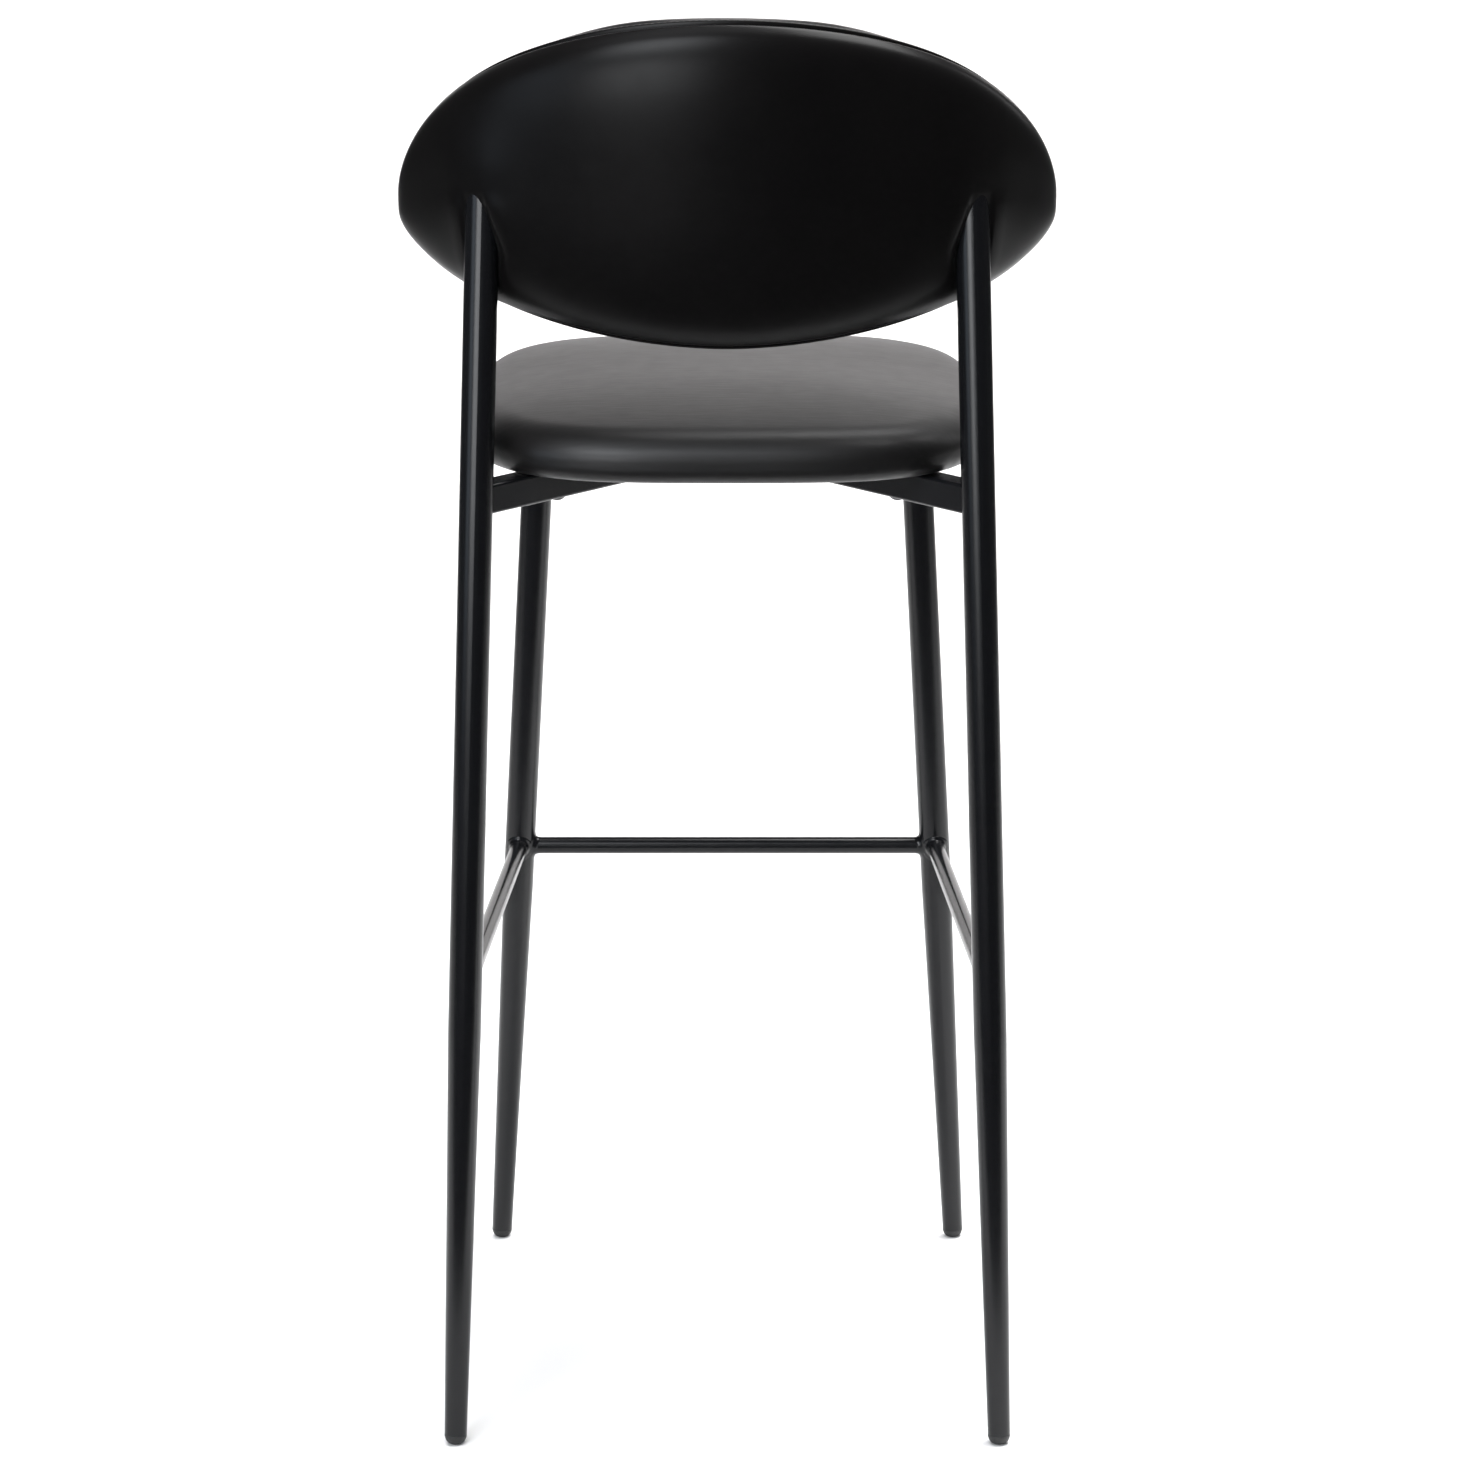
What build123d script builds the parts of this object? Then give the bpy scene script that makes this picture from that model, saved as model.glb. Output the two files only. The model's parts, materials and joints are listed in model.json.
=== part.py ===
from build123d import *
import math
import os

# Bar stool with a footrest and an oval, wrapped backrest.
# Millimetres, +Z up. The sitter faces -Y, so the sitter's left hand is on +X.
# All shapes are laid out from the middle of the four feet on the floor, and at the end they are
# moved along Y together, so that the origin is the middle of the whole stool's footprint.

# Steel tube legs, straight from floor to top and tapered at the foot
TUBE_R = 12.5
TUBE_WALL = 1.5
FOOT_R = 8.45
TAPER_LENGTH = 322.0
REAR_FOOT = Vector(207.3, 225.0, 0)
REAR_HIGH = Vector(177.7, 185.0, 900)
REAR_LEG_LENGTH = 967.0
FRONT_FOOT = Vector(194.6, -225.0, 0)
FRONT_HIGH = Vector(152.7, -158.0, 700)

# Plastic glide pushed into each foot
GLIDE_HEIGHT = 7.5
GLIDE_STEM = 16.0
GLIDE_FLAT_R = 2.5
GLIDE_SINK = 0.3
PUSH_GAP = 0.05

# Footrest: three round tubes at one height, at the front and both sides
FOOTREST_Z = 358.4
FOOTREST_R = 7.0
FOOTREST_WALL = 1.5

# Under-seat frame: two crossed rectangular tubes in the tilted plane of the seat
SEAT_TILT = 2.6
SEAT_PLANE_Z = 745.5
BEAM_WIDTH = 20.0
BEAM_HEIGHT = 22.0
BEAM_WALL = 1.5
BEAM_EDGE_R = 2.0
FRONT_LEG_BLANK = 805.5
PLUG_FLANGE = 2.0
PLUG_STEM = 12.0

# Seat cushion, from its underside up: dust cover, turned-in cover, board, foam, cover
SEAT_Y = 7.0
SEAT_HALF_WIDTH = 196.0
SEAT_HALF_DEPTH = 197.0
SEAT_SQUARENESS = 3.4
SEAT_THICKNESS = 50.0
SEAT_CROWN = 6.5
SEAT_TOP_EDGE_WIDTH = 28.0
SEAT_TOP_EDGE_HEIGHT = 22.0
SEAT_LOW_EDGE_R = 9.0
DUST_COVER = 0.8
COVER = 1.2
SEAT_TURN_IN = 34.0
DUST_COVER_INSET = 22.0
BOARD_INSET = 12.0
BOARD_THICKNESS = 12.0

# Seat screws, domed heads under the crossed tubes, with tee nuts on top of the board
SCREW_R = 3.0
SCREW_GAP = 0.15
SCREW_HOLE_GAP = 0.4
SCREW_SHORT = 1.0
SOCKET_R = 2.0
SOCKET_DEPTH = 2.0
SEAT_SCREW_SHARE = (0.34, 0.36)
HEAD_R = 7.0
HEAD_HEIGHT = 4.0
NUT_FLANGE_R = 9.0
NUT_FLANGE = 1.2
NUT_BARREL_R = 4.2
NUT_BARREL = 9.0

# Backrest: an oval pillow bent round an axis that leans back with it
BACK_LEAN = 8.0
BACK_AXIS_Y = -109.5
BACK_AXIS_Z = 950.0
BACK_MID_R = 318.0
BACK_HALF_THICKNESS = 32.0
BACK_HALF_ARC = 258.2
BACK_WIDEST = 7.6
BACK_ABOVE = 164.0
BACK_BELOW = 74.5
BACK_OVAL_ABOVE = 1.96
BACK_OVAL_BELOW = 1.75
BACK_TIP_POWER = 5.0
BACK_SECTION_POWER = 3.0
BACK_SECTION_TURNS = (15, 30, 42, 54, 66, 76, 84)
SECTION_POINTS = 24
BACK_SEAM_R = BACK_MID_R + 15.0
PANEL_BACK_R = 317.5
PANEL_THICKNESS = 9.0
PANEL_INSET = 23.0
FAR_R = 420.0

# Steel tabs welded to the posts inside the backrest, and their screws
TAB_THICKNESS = 3.0
TAB_WIDTH = 34.0
TAB_LOW = 30.0
TAB_HIGH = 88.0
TAB_SCREW_HEIGHTS = (64.0, 79.0)
BACK_HEAD_R = 6.0
BACK_HEAD_HEIGHT = 3.0
BACK_SCREW_R = 2.5
BACK_NUT_BARREL = 7.0
SOFT_GAP = 0.4
PANEL_SAG = 0.15

# Blocks and drums used only for cutting are this large
CUTTER = 700.0

SIDES = {"left": 1, "right": -1}
STAND = (Align.CENTER, Align.CENTER, Align.MIN)
HANG = (Align.CENTER, Align.CENTER, Align.MAX)
shapes = {}


def on_side(point, side):
    return Vector(point.X * side, point.Y, point.Z)


# ---- legs ----------------------------------------------------------------------------------


def leg_frame(foot, high):
    """Frame with its origin where the leg's axis meets the floor and local Z up the leg."""
    return Plane(origin=foot, z_dir=(high - foot).normalized()).location


def leg_radius(distance):
    """Outer radius of a leg at a distance up its axis from the floor."""
    share = min(distance / TAPER_LENGTH, 1.0)
    return FOOT_R + (TUBE_R - FOOT_R) * share


def leg_rod(inset, start, end):
    """Solid of a leg's outer form, made smaller all round by an inset."""
    outline = [
        (0, start),
        (leg_radius(start) - inset, start),
        (TUBE_R - inset, TAPER_LENGTH),
        (TUBE_R - inset, end),
        (0, end),
    ]
    profile = Plane.XZ * make_face(Polyline(*outline, close=True))
    return revolve(profile, Axis.Z)


def leg_tube(end):
    tube = leg_rod(0, GLIDE_HEIGHT, end)
    return tube - leg_rod(TUBE_WALL, GLIDE_HEIGHT, end)


def glide():
    """Domed plastic cap with a stem that is pushed into the tube."""
    rim = leg_radius(GLIDE_HEIGHT)
    stem_r = rim - TUBE_WALL - PUSH_GAP
    reach = rim - GLIDE_FLAT_R
    rise = GLIDE_HEIGHT + GLIDE_SINK
    bends = []
    for turn in range(0, 91, 15):
        c, s = math.cos(math.radians(turn)), math.sin(math.radians(turn))
        bends.append((GLIDE_FLAT_R + reach * s, GLIDE_HEIGHT - rise * c))
    dome = Spline(*bends, tangents=[(1, 0), (0, 1)])
    outline = dome + Polyline(
        dome @ 1,
        (stem_r, GLIDE_HEIGHT),
        (stem_r, GLIDE_HEIGHT + GLIDE_STEM),
        (0, GLIDE_HEIGHT + GLIDE_STEM),
        (0, -GLIDE_SINK),
        (GLIDE_FLAT_R, -GLIDE_SINK),
    )
    return revolve(Plane.XZ * make_face(outline), Axis.Z)


def leg_point(foot, high, z):
    """Point of a leg's axis at a height above the floor."""
    return foot + (high - foot) * (z / high.Z)


# ---- seat frame of reference ---------------------------------------------------------------

seat_frame = Location((0, 0, SEAT_PLANE_Z), (-SEAT_TILT, 0, 0))
seat_middle = seat_frame * Location((0, SEAT_Y / math.cos(math.radians(SEAT_TILT)), 0))


def in_seat_plane(foot, high, depth):
    """Where a leg's axis crosses the plane that lies a given depth under the seat plane."""
    normal = Plane(seat_frame).z_dir
    origin = Vector(0, 0, SEAT_PLANE_Z) - normal * depth
    direction = high - foot
    reach = (origin - foot).dot(normal) / direction.dot(normal)
    return foot + direction * reach


def slab_above(depth):
    """Everything above the plane that lies a given depth under the seat plane."""
    block = Box(CUTTER, CUTTER, CUTTER, align=STAND)
    return seat_frame * Pos(0, 0, -depth) * block


floor_block = Box(CUTTER, CUTTER, CUTTER, align=HANG)
leg_solids = []

for name, side in SIDES.items():
    rear = leg_frame(on_side(REAR_FOOT, side), on_side(REAR_HIGH, side))
    front = leg_frame(on_side(FRONT_FOOT, side), on_side(FRONT_HIGH, side))
    top = slab_above(PLUG_FLANGE)

    shapes[f"rear_leg_{name}"] = rear * leg_tube(REAR_LEG_LENGTH)
    shapes[f"front_leg_{name}"] = front * leg_tube(FRONT_LEG_BLANK) - top
    shapes[f"rear_glide_{name}"] = rear * glide() - floor_block
    shapes[f"front_glide_{name}"] = front * glide() - floor_block
    leg_solids.append(rear * leg_rod(0, 0, REAR_LEG_LENGTH))
    leg_solids.append(front * leg_rod(0, 0, FRONT_LEG_BLANK) - slab_above(0))

    # plug that closes the top of the front leg, flush with its outside
    cap = front * leg_rod(0, 0, FRONT_LEG_BLANK) & slab_above(PLUG_FLANGE)
    stem = front * leg_rod(TUBE_WALL + PUSH_GAP, 0, FRONT_LEG_BLANK)
    stem = stem & slab_above(PLUG_FLANGE + PLUG_STEM)
    plug = (cap + stem) - slab_above(0)
    shapes[f"front_leg_plug_{name}"] = plug


def cope(shape):
    """Cuts a member's ends to the outside of the legs that it is welded to."""
    for leg in leg_solids:
        shape = shape - leg
    return max(shape.solids(), key=lambda solid: solid.volume)


# ---- footrest ------------------------------------------------------------------------------


def footrest_bar(start, end):
    length = (end - start).length
    frame = Plane(origin=(start + end) * 0.5, z_dir=(end - start).normalized()).location
    tube = Cylinder(FOOTREST_R, length) - Cylinder(FOOTREST_R - FOOTREST_WALL, length)
    return cope(frame * tube)


footrest_front = leg_point(FRONT_FOOT, FRONT_HIGH, FOOTREST_Z)
footrest_rear = leg_point(REAR_FOOT, REAR_HIGH, FOOTREST_Z)
shapes["footrest_front_bar"] = footrest_bar(footrest_front, on_side(footrest_front, -1))
for name, side in SIDES.items():
    bar = footrest_bar(on_side(footrest_front, side), on_side(footrest_rear, side))
    shapes[f"footrest_side_bar_{name}"] = bar


# ---- crossed tubes under the seat ----------------------------------------------------------

rear_corner = in_seat_plane(REAR_FOOT, REAR_HIGH, BEAM_HEIGHT / 2)
front_corner = in_seat_plane(FRONT_FOOT, FRONT_HIGH, BEAM_HEIGHT / 2)


def beam_frame(side):
    """Frame in the middle of the tube that starts at one side's rear leg, with X along it."""
    start = on_side(rear_corner, side)
    end = on_side(front_corner, -side)
    return Plane(
        origin=(start + end) * 0.5,
        x_dir=(end - start).normalized(),
        z_dir=Plane(seat_frame).z_dir,
    ).location


beam_length = (on_side(front_corner, -1) - rear_corner).length


def screw_point(side, share):
    """Point of a crossed tube's axis at a share of its half length, on the rear or front arm."""
    return beam_frame(side) * Pos(share * beam_length / 2, 0, 0)


screw_places = []
for side in SIDES.values():
    for share in (-1 + SEAT_SCREW_SHARE[0], 1 - SEAT_SCREW_SHARE[1]):
        screw_places.append(screw_point(side, share))


def beam_bar(side):
    """Solid bar with a crossed tube's rounded outer form."""
    bar = Box(beam_length, BEAM_WIDTH, BEAM_HEIGHT)
    return beam_frame(side) * fillet(bar.edges().filter_by(Axis.X), BEAM_EDGE_R)


def beam(side):
    """Crossed tube with its ends coped to the legs and its screw holes."""
    inner = Box(beam_length, BEAM_WIDTH - 2 * BEAM_WALL, BEAM_HEIGHT - 2 * BEAM_WALL)
    tube = cope(beam_bar(side) - beam_frame(side) * inner)
    for place in screw_places:
        tube = tube - place * Cylinder(SCREW_R + SCREW_HOLE_GAP, 3 * BEAM_HEIGHT)
    return tube


crossing = beam(-1) - beam_bar(1)
halves = sorted(crossing.solids(), key=lambda solid: solid.center().Y)
shapes["seat_beam_long"] = beam(1)
shapes["seat_beam_front_half"] = halves[0]
shapes["seat_beam_rear_half"] = halves[-1]


# ---- seat cushion --------------------------------------------------------------------------


def superellipse(half_x, half_y, power, count=32):
    """Closed rounded-square curve."""
    points = []
    for i in range(count):
        turn = 2 * math.pi * i / count
        c, s = math.cos(turn), math.sin(turn)
        x = half_x * math.copysign(abs(c) ** (2 / power), c)
        y = half_y * math.copysign(abs(s) ** (2 / power), s)
        points.append((x, y))
    return Spline(*points, periodic=True)


def seat_outline(inset):
    curve = superellipse(
        SEAT_HALF_WIDTH - inset, SEAT_HALF_DEPTH - inset, SEAT_SQUARENESS
    )
    return make_face(curve)


def seat_prism(inset, low, high):
    """Upright-sided slice of the seat's outline between two heights over the seat plane."""
    return Pos(0, 0, low) * extrude(seat_outline(inset), high - low)


def seat_level(inset, in_from_side, height):
    """Closed section of the cushion at one height, some way in from its widest outline."""
    return Pos(0, 0, height) * seat_outline(inset + in_from_side)


def seat_form(inset):
    """The cushion's crowned outer form, made smaller all round by an inset."""
    low = DUST_COVER + inset
    low_r = SEAT_LOW_EDGE_R - inset
    top_w = SEAT_TOP_EDGE_WIDTH - inset
    top_h = SEAT_TOP_EDGE_HEIGHT - inset
    shoulder = SEAT_THICKNESS - SEAT_CROWN - inset
    levels = []
    for turn in (0, 30, 60, 90):
        c, s = math.cos(math.radians(turn)), math.sin(math.radians(turn))
        levels.append(seat_level(inset, low_r * (1 - s), low + low_r * (1 - c)))
    for turn in range(0, 85, 12):
        c, s = math.cos(math.radians(turn)), math.sin(math.radians(turn))
        levels.append(seat_level(inset, top_w * (1 - c), shoulder - top_h * (1 - s)))
    half = SEAT_HALF_WIDTH - top_w
    for share in (0.8, 0.6, 0.4, 0.2):
        rise = SEAT_CROWN * (1 - share**2)
        levels.append(seat_level(inset, top_w + half * (1 - share), shoulder + rise))
    return loft(levels, ruled=True)


board_low = DUST_COVER + COVER
board_high = board_low + BOARD_THICKNESS
outer_seat = seat_form(0)
inner_seat = seat_form(COVER)
seat_board = seat_prism(BOARD_INSET, board_low, board_high)
turn_in_gap = seat_prism(SEAT_TURN_IN, 0, board_low)
seat_cover = outer_seat - inner_seat - turn_in_gap
seat_foam = inner_seat - seat_board


def seat_screw():
    """Screw standing on the seat plane: domed head under the tube, shank up to the nut."""
    head_top = -BEAM_HEIGHT
    dome_r = (HEAD_R**2 + HEAD_HEIGHT**2) / (2 * HEAD_HEIGHT)
    ball = Pos(0, 0, head_top - HEAD_HEIGHT + dome_r) * Sphere(dome_r)
    block = Pos(0, 0, head_top) * Cylinder(HEAD_R + 1, HEAD_HEIGHT + 1, align=HANG)
    socket = Pos(0, 0, head_top - HEAD_HEIGHT) * Cylinder(SOCKET_R, 2 * SOCKET_DEPTH)
    length = BEAM_HEIGHT + board_high - SCREW_SHORT
    shank = Pos(0, 0, head_top) * Cylinder(SCREW_R, length, align=STAND)
    return (ball & block) - socket + shank


def tee_nut(surface, barrel_length):
    """Tee nut: flange standing on a surface, threaded barrel down into it."""
    flange = Pos(0, 0, surface) * Cylinder(NUT_FLANGE_R, NUT_FLANGE, align=STAND)
    barrel = Pos(0, 0, surface) * Cylinder(NUT_BARREL_R, barrel_length, align=HANG)
    return flange + barrel - Cylinder(SCREW_R + SCREW_GAP, CUTTER)


screw_stands = [place * Pos(0, 0, BEAM_HEIGHT / 2) for place in screw_places]
shapes["seat_screws"] = Compound([stand * seat_screw() for stand in screw_stands])
shapes["seat_tee_nuts"] = Compound(
    [stand * tee_nut(board_high, NUT_BARREL) for stand in screw_stands]
)

dust_cover = seat_middle * seat_prism(DUST_COVER_INSET, 0, DUST_COVER)
seat_board = seat_middle * seat_board
seat_foam = seat_middle * seat_foam
barrel_room = Cylinder(NUT_BARREL_R, board_high, align=STAND)
flange_room = Pos(0, 0, board_high) * Cylinder(NUT_FLANGE_R, 2 * NUT_FLANGE, align=STAND)
screw_room = Cylinder(SCREW_R + SCREW_HOLE_GAP, board_high)
for stand in screw_stands:
    seat_board = seat_board - stand * barrel_room
    seat_foam = seat_foam - stand * flange_room
    dust_cover = dust_cover - stand * screw_room
shapes["seat_board"] = seat_board
shapes["seat_foam"] = seat_foam
shapes["seat_cover"] = seat_middle * seat_cover
shapes["seat_dust_cover"] = dust_cover


# ---- backrest ------------------------------------------------------------------------------

back_frame = Location((0, BACK_AXIS_Y, BACK_AXIS_Z), (-BACK_LEAN, 0, 0))


def unit_height(share, power):
    """Height of a unit superellipse at a share of its half width."""
    return max(1 - abs(share) ** power, 0) ** (1 / power)


def radial_plane(turn):
    """Upright plane through the backrest's axis, with local X pointing away from the axis."""
    return Plane(origin=(0, 0, 0), x_dir=(0, 1, 0), z_dir=(1, 0, 0)).rotated((0, 0, -turn))


def back_section(share, inset):
    """Closed curve across the pillow, in the radial plane at a share of its half arc."""
    arc = (BACK_HALF_ARC - inset) * share
    above = (BACK_ABOVE - inset) * unit_height(share, BACK_OVAL_ABOVE)
    below = (BACK_BELOW - inset) * unit_height(share, BACK_OVAL_BELOW)
    half_height = (above + below) / 2
    half_thickness = (BACK_HALF_THICKNESS - inset) * unit_height(share, BACK_TIP_POWER)
    curve = superellipse(half_thickness, half_height, BACK_SECTION_POWER, SECTION_POINTS)
    turn = math.degrees(arc / BACK_MID_R)
    centre = Pos(BACK_MID_R, BACK_WIDEST + (above - below) / 2, 0)
    return radial_plane(turn) * centre * make_face(curve)


def back_form(inset):
    """The backrest's outer form, made smaller all round by an inset."""
    turns = [-turn for turn in reversed(BACK_SECTION_TURNS)] + [0] + list(BACK_SECTION_TURNS)
    shares = [math.sin(math.radians(turn)) for turn in turns]
    return loft([back_section(share, inset) for share in shares])


def drum(radius):
    """Solid drum about the backrest's axis, taller than the backrest."""
    return Cylinder(radius, CUTTER)


def shell(inner_r, outer_r):
    """Thick wall about the backrest's axis, taller than the backrest."""
    return drum(outer_r) - drum(inner_r)


def on_drum(turn, height, radius):
    """Frame on a drum, with local Z pointing away from the backrest's axis."""
    around = Rot(0, 0, -math.degrees(turn))
    return around * Pos(0, radius, height) * Rot(-90, 0, 0)


def panel_section(share):
    """Rectangle across the bent panel, in the radial plane at a share of its half arc."""
    above = (BACK_ABOVE - PANEL_INSET) * unit_height(share, BACK_OVAL_ABOVE)
    below = (BACK_BELOW - PANEL_INSET) * unit_height(share, BACK_OVAL_BELOW)
    turn = math.degrees((BACK_HALF_ARC - PANEL_INSET) * share / BACK_MID_R)
    middle = Pos(
        PANEL_BACK_R - PANEL_THICKNESS / 2, BACK_WIDEST + (above - below) / 2, 0
    )
    return radial_plane(turn) * middle * Rectangle(3 * PANEL_THICKNESS, above + below)


def panel_form():
    """Bent plywood panel with the backrest's outline, drawn in from its rim."""
    shares = [math.sin(math.radians(turn)) for turn in range(-80, 81, 16)]
    outline = loft([panel_section(share) for share in shares])
    return outline & shell(PANEL_BACK_R - PANEL_THICKNESS, PANEL_BACK_R)


def tab(side):
    """Steel tab that lies on the rear of the panel, from the post's top end upwards."""
    sheet = shell(PANEL_BACK_R, PANEL_BACK_R + TAB_THICKNESS)
    height = TAB_HIGH - TAB_LOW
    window = Box(TAB_WIDTH, height, 6 * TAB_THICKNESS)
    window = on_drum(side * tab_turn, (TAB_HIGH + TAB_LOW) / 2, PANEL_BACK_R) * window
    return sheet & window


def back_screw():
    """Pan-head screw through tab and panel; local Z points to the rear, zero at the panel."""
    head = Cylinder(BACK_HEAD_R, BACK_HEAD_HEIGHT, align=STAND)
    shank = Cylinder(BACK_SCREW_R, TAB_THICKNESS + PANEL_THICKNESS, align=HANG)
    return Pos(0, 0, TAB_THICKNESS) * (head + shank)


def back_nut():
    """Tee nut with its flange on the panel's front face and its barrel inside the panel."""
    turned = Pos(0, 0, -PANEL_THICKNESS - PANEL_SAG) * Rot(180, 0, 0)
    return turned * tee_nut(0, BACK_NUT_BARREL)


outer_back = back_form(0)
inner_back = back_form(COVER)
panel_blank = panel_form()
post_top = leg_point(REAR_FOOT, REAR_HIGH, REAR_LEG_LENGTH)
post_top_local = (back_frame.inverse() * Pos(*post_top)).position
tab_turn = math.atan2(post_top_local.X, post_top_local.Y)

places = []
post_rooms = []
tabs = {}
for name, side in SIDES.items():
    for height in TAB_SCREW_HEIGHTS:
        places.append(on_drum(side * tab_turn, height, PANEL_BACK_R))
    post = leg_frame(on_side(REAR_FOOT, side), on_side(REAR_HIGH, side))
    room = post * leg_rod(-SOFT_GAP, 0, REAR_LEG_LENGTH + SOFT_GAP)
    post_rooms.append(back_frame.inverse() * room)
    tabs[name] = tab(side)

screw_hole = Cylinder(BACK_SCREW_R + PANEL_SAG, 4 * PANEL_THICKNESS)
nut_hole = Cylinder(NUT_BARREL_R, 4 * PANEL_THICKNESS)
nut_room = Pos(0, 0, -PANEL_THICKNESS) * Cylinder(NUT_FLANGE_R, 3 * NUT_FLANGE, align=HANG)
head_room = Cylinder(
    BACK_HEAD_R + SOFT_GAP, TAB_THICKNESS + BACK_HEAD_HEIGHT + SOFT_GAP, align=STAND
)
for name in SIDES:
    for place in places:
        tabs[name] = tabs[name] - place * screw_hole

panel = panel_blank
rear_foam = inner_back & shell(PANEL_BACK_R, FAR_R)
front_foam = (inner_back & drum(PANEL_BACK_R)) - panel_blank
for place in places:
    panel = panel - place * nut_hole
    rear_foam = rear_foam - place * head_room
    front_foam = front_foam - place * nut_room
for room in post_rooms + list(tabs.values()):
    rear_foam = rear_foam - room
rear_foam = max(rear_foam.solids(), key=lambda solid: solid.volume)
skin = outer_back - inner_back
rear_cover = skin & shell(BACK_SEAM_R, FAR_R)
front_cover = skin & drum(BACK_SEAM_R)
for room in post_rooms:
    rear_cover = rear_cover - room
    front_cover = front_cover - room

shapes["back_panel"] = back_frame * panel
shapes["back_front_foam"] = back_frame * front_foam
shapes["back_rear_foam"] = back_frame * rear_foam
shapes["back_front_cover"] = back_frame * front_cover
shapes["back_rear_cover"] = back_frame * rear_cover
for name in SIDES:
    post = shapes[f"rear_leg_{name}"] - back_frame * drum(PANEL_BACK_R + TAB_THICKNESS)
    shapes[f"rear_leg_{name}"] = post
    shapes[f"back_tab_{name}"] = back_frame * tabs[name]
shapes["back_screws"] = Compound([back_frame * place * back_screw() for place in places])
shapes["back_tee_nuts"] = Compound([back_frame * place * back_nut() for place in places])


# ---- origin and files ----------------------------------------------------------------------

ends = [shape.bounding_box() for shape in shapes.values()]
shift = -(min(box.min.Y for box in ends) + max(box.max.Y for box in ends)) / 2
print("all shapes moved along Y by", round(shift, 3))
os.makedirs("parts", exist_ok=True)
for name, shape in shapes.items():
    export_step(Pos(0, shift, 0) * shape, f"parts/{name}.step")
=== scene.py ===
import json
import math

import bmesh
import bpy
import numpy as np
from mathutils import Matrix, Vector


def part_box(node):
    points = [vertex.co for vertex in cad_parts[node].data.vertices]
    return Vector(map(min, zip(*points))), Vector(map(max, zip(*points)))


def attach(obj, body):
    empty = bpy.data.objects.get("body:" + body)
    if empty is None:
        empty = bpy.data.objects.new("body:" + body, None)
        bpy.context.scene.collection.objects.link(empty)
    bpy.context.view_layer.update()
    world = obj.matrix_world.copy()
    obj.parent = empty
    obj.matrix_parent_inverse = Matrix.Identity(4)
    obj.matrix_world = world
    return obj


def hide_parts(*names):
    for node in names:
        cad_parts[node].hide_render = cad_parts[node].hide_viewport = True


# Bar stool with footrest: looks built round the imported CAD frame. Metres, +Z up.
# The sitter faces -Y, and the camera looks at the stool's back from +Y.

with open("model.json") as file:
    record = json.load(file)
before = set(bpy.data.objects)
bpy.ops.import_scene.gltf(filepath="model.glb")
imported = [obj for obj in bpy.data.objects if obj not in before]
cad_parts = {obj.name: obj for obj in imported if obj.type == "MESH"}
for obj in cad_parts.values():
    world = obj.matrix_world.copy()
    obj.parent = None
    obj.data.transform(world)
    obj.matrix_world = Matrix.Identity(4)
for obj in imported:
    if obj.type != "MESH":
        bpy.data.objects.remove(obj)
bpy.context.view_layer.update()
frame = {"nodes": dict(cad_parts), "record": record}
nodes = frame["nodes"]


# ---- measures taken from the frame -----------------------------------------------------------

def node_points(name):
    """Vertices of a CAD node as an array, in metres."""
    mesh = nodes[name].data
    points = np.zeros(len(mesh.vertices) * 3)
    mesh.vertices.foreach_get("co", points)
    return points.reshape(-1, 3)


# ---- materials -------------------------------------------------------------------------------

class Shader:
    """A material's node tree with one Principled shader, and short calls to add to it."""

    def __init__(self, name):
        self.material = bpy.data.materials.new(name)
        self.material.use_nodes = True
        self.tree = self.material.node_tree
        self.bsdf = self.tree.nodes["Principled BSDF"]
        self.coords = self.add("ShaderNodeTexCoord").outputs["Object"]

    def add(self, kind, **settings):
        node = self.tree.nodes.new(kind)
        for key, value in settings.items():
            setattr(node, key, value)
        return node

    def link(self, output, socket):
        self.tree.links.new(output, socket)

    def value(self, socket, number):
        self.bsdf.inputs[socket].default_value = number

    def stretched(self, scale):
        """Object coordinates scaled differently along each axis."""
        mapping = self.add("ShaderNodeMapping")
        mapping.inputs["Scale"].default_value = scale
        self.link(self.coords, mapping.inputs["Vector"])
        return mapping.outputs["Vector"]

    def noise(self, scale, detail=4.0, rough=0.5, coords=None):
        node = self.add("ShaderNodeTexNoise")
        node.inputs["Scale"].default_value = scale
        node.inputs["Detail"].default_value = detail
        node.inputs["Roughness"].default_value = rough
        self.link(coords or self.coords, node.inputs["Vector"])
        return node.outputs["Fac"]

    def cells(self, scale, coords=None):
        node = self.add("ShaderNodeTexVoronoi", feature="DISTANCE_TO_EDGE")
        node.inputs["Scale"].default_value = scale
        self.link(coords or self.coords, node.inputs["Vector"])
        return node.outputs["Distance"]

    def ramp(self, source, low, high, start=0.0, end=1.0):
        """Source remapped from start..end to low..high."""
        node = self.add("ShaderNodeMapRange")
        node.inputs["From Min"].default_value = start
        node.inputs["From Max"].default_value = end
        node.inputs["To Min"].default_value = low
        node.inputs["To Max"].default_value = high
        self.link(source, node.inputs["Value"])
        return node.outputs["Result"]

    def colours(self, source, dark, light):
        node = self.add("ShaderNodeMix", data_type="RGBA")
        node.inputs["A"].default_value = (*dark, 1)
        node.inputs["B"].default_value = (*light, 1)
        self.link(source, node.inputs["Factor"])
        self.link(node.outputs["Result"], self.bsdf.inputs["Base Color"])

    def bump(self, source, strength, distance, under=None):
        node = self.add("ShaderNodeBump")
        node.inputs["Strength"].default_value = strength
        node.inputs["Distance"].default_value = distance
        self.link(source, node.inputs["Height"])
        if under is not None:
            self.link(under, node.inputs["Normal"])
        return node.outputs["Normal"]

    def finish(self, normal):
        self.link(normal, self.bsdf.inputs["Normal"])
        return self.material


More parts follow.
